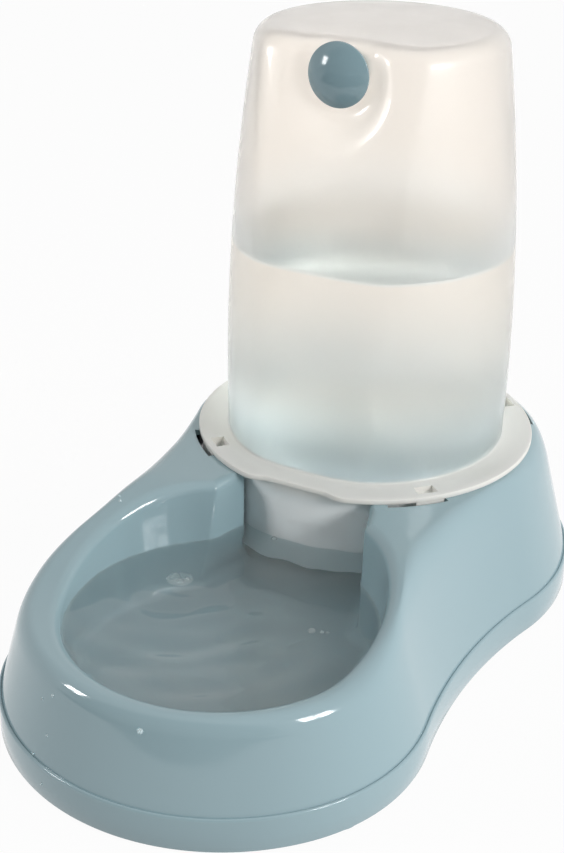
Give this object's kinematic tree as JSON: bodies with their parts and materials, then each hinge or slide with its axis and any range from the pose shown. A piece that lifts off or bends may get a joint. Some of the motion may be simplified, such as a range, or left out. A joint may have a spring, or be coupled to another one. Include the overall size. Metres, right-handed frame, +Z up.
{
  "type": "pet water dispenser",
  "caption": "Gravity-fed pet water dispenser: glossy base with a drinking bowl in front and a round well behind, and a translucent lift-off tank with a domed fill plug.",
  "frame": {"origin": "on the table under the middle of the base, at the height of the feet's undersides", "axes": "+Z up; -Y is the front, where the bowl is, and +Y the back, where the tank stands; the left and right halves mirror at X = 0"},
  "size_m": [0.1862, 0.3116, 0.2461],
  "materials": {
    "base_plastic": "glossy blue-grey",
    "tank_plastic": "translucent milky white, slightly glossy",
    "plug_plastic": "glossy blue-grey, a little darker than the base",
    "rubber": "matt dark rubber"
  },
  "bodies": {
    "base": {"base": "base_plastic", "foot_front_left": "rubber", "foot_front_right": "rubber", "foot_rear_left": "rubber", "foot_rear_right": "rubber"},
    "tank": {"tank_shell": "tank_plastic", "tank_floor": "tank_plastic"},
    "plug": {"fill_plug": "plug_plastic", "plug_seal": "rubber"}
  },
  "joints": [
    {"name": "tank_lift", "type": "slide", "parent": "base", "child": "tank", "axis": [0, 0, 1], "range_m": [0, 0.055]},
    {"name": "plug_pull", "type": "slide", "parent": "tank", "child": "plug", "axis": [0, -1, 0], "range_m": [0, 0.016]}
  ]
}
